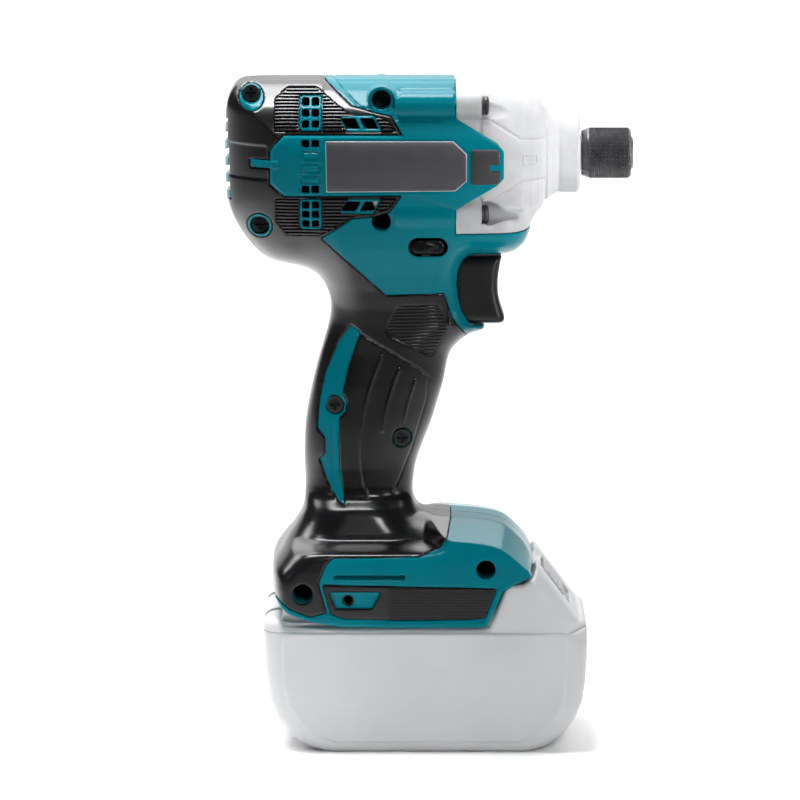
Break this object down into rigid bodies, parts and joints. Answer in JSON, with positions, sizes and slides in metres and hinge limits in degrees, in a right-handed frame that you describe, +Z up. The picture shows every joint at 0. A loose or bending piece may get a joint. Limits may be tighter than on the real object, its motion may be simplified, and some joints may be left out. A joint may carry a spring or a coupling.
{
  "type": "cordless impact driver",
  "caption": "Pistol-grip cordless impact driver with trigger, reverse lever, quick-release hex bit chuck, planetary hammer drive and slide-off battery pack.",
  "frame": {"origin": "middle of the overall box at the underside of the battery pack, on which the tool stands", "axes": "+X forward along the spindle to the bit, +Y to the tool's left, +Z up"},
  "size_m": [0.147, 0.079, 0.2415],
  "materials": {
    "teal_plastic": "satin moulded",
    "grip_rubber": "matte elastomer",
    "label_film": "satin film",
    "black_plastic": "satin",
    "cast_aluminium": "cast, bead blasted",
    "steel": "machined",
    "black_steel": "black oxide",
    "bronze": "sintered",
    "brass": "turned",
    "copper": "enamelled wire",
    "magnet": "ferrite",
    "brown_plastic": "phenolic",
    "clear_lens": "clear",
    "green_board": "solder mask",
    "red_wire": "insulation",
    "black_wire": "insulation",
    "pack_plastic": "satin moulded",
    "cell": "sleeved cell",
    "nickel": "nickel strip"
  },
  "bodies": {
    "tool": {"right_housing": "teal_plastic", "left_housing": "teal_plastic", "right_grip": "grip_rubber", "left_grip": "grip_rubber", "side_labels": "label_film", "side_pads": "grip_rubber", "housing_screws": "black_steel", "hammer_case": "cast_aluminium", "hammer_case_screws": "black_steel", "nose_bush": "bronze", "bearing_box": "cast_aluminium", "ring_gear": "steel", "spindle_bearing": "steel", "motor_yoke": "steel", "motor_magnets": "magnet", "front_bearing": "steel", "rear_bearing": "steel", "brush_holder": "brown_plastic", "carbon_brushes": "magnet", "switch_body": "black_plastic", "trigger_spring": "steel", "led_lens": "clear_lens", "led_board": "green_board", "motor_leads": "red_wire", "power_leads": "black_wire", "terminal_block": "black_plastic", "terminal_blades": "brass", "hook_inserts": "brass"},
    "rotor": {"armature_shaft": "steel", "armature_core": "steel", "armature_windings": "copper", "commutator": "copper", "fan": "black_plastic", "pinion": "steel"},
    "spindle": {"spindle": "steel", "planet_pins": "steel", "cam_balls": "steel", "spring_washer": "steel", "hammer_spring": "steel"},
    "planet_a": {"planet_gear_a": "steel"},
    "planet_b": {"planet_gear_b": "steel"},
    "hammer": {"hammer": "steel"},
    "anvil": {"anvil": "black_steel", "chuck_washer": "steel", "chuck_spring": "steel"},
    "sleeve": {"chuck_sleeve": "black_steel"},
    "detent_a": {"detent_ball_a": "steel"},
    "detent_b": {"detent_ball_b": "steel"},
    "trigger": {"trigger": "black_plastic", "trigger_plunger": "pack_plastic"},
    "reverse": {"reverse_lever": "black_plastic"},
    "pack": {"battery_lower_case": "pack_plastic", "battery_upper_case": "pack_plastic", "battery_cells": "cell", "cell_tabs": "nickel", "battery_board": "green_board", "battery_contacts": "brass", "release_spring": "steel"},
    "release": {"release_button": "black_plastic"}
  },
  "joints": [
    {"name": "trigger_pull", "type": "slide", "parent": "tool", "child": "trigger", "axis": [-1, 0, 0], "range_m": [0, 0.0065], "stiffness_N_per_m": 1500, "springref_m": -0.003, "deforming": ["trigger_spring"]},
    {"name": "reverse_lever_slide", "type": "slide", "parent": "tool", "child": "reverse", "axis": [0, 1, 0], "range_m": [-0.0035, 0.0035]},
    {"name": "spindle_spin", "type": "hinge", "parent": "tool", "child": "spindle", "pos_m": [0, 0, 0.213], "axis": [1, 0, 0], "continuous": true},
    {"name": "rotor_spin", "type": "hinge", "parent": "tool", "child": "rotor", "pos_m": [-0.04, 0, 0.213], "axis": [1, 0, 0], "continuous": true},
    {"name": "planet_a_spin", "type": "hinge", "parent": "spindle", "child": "planet_a", "pos_m": [0.0078, 0, 0.2238], "axis": [1, 0, 0], "continuous": true},
    {"name": "planet_b_spin", "type": "hinge", "parent": "spindle", "child": "planet_b", "pos_m": [0.0078, 0, 0.2022], "axis": [1, 0, 0], "continuous": true},
    {"name": "hammer_slide", "type": "slide", "parent": "spindle", "child": "hammer", "axis": [-1, 0, 0], "range_m": [0, 0.0065], "stiffness_N_per_m": 9000, "springref_m": -0.004, "deforming": ["hammer_spring"]},
    {"name": "anvil_spin", "type": "hinge", "parent": "tool", "child": "anvil", "pos_m": [0.05, 0, 0.213], "axis": [1, 0, 0], "continuous": true},
    {"name": "sleeve_slide", "type": "slide", "parent": "anvil", "child": "sleeve", "axis": [1, 0, 0], "range_m": [0, 0.005], "stiffness_N_per_m": 1200, "springref_m": -0.003, "deforming": ["chuck_spring"]},
    {"name": "detent_a_slide", "type": "slide", "parent": "anvil", "child": "detent_a", "axis": [0, 0, 1], "range_m": [0, 0.001]},
    {"name": "detent_b_slide", "type": "slide", "parent": "anvil", "child": "detent_b", "axis": [0, 0, -1], "range_m": [0, 0.001]},
    {"name": "pack_slide", "type": "slide", "parent": "tool", "child": "pack", "axis": [1, 0, 0], "range_m": [0, 0.1]},
    {"name": "release_press", "type": "slide", "parent": "pack", "child": "release", "axis": [0.6018, 0, -0.7986], "range_m": [0, 0.004], "stiffness_N_per_m": 800, "springref_m": -0.003, "deforming": ["release_spring"]}
  ],
  "couplings": [
    {"joint": "rotor_spin", "follows": "spindle_spin", "ratio": 6},
    {"joint": "planet_a_spin", "follows": "spindle_spin", "ratio": -2.5},
    {"joint": "planet_b_spin", "follows": "spindle_spin", "ratio": -2.5},
    {"joint": "anvil_spin", "follows": "spindle_spin", "ratio": 1},
    {"joint": "detent_a_slide", "follows": "sleeve_slide", "ratio": 0.2},
    {"joint": "detent_b_slide", "follows": "sleeve_slide", "ratio": 0.2}
  ]
}
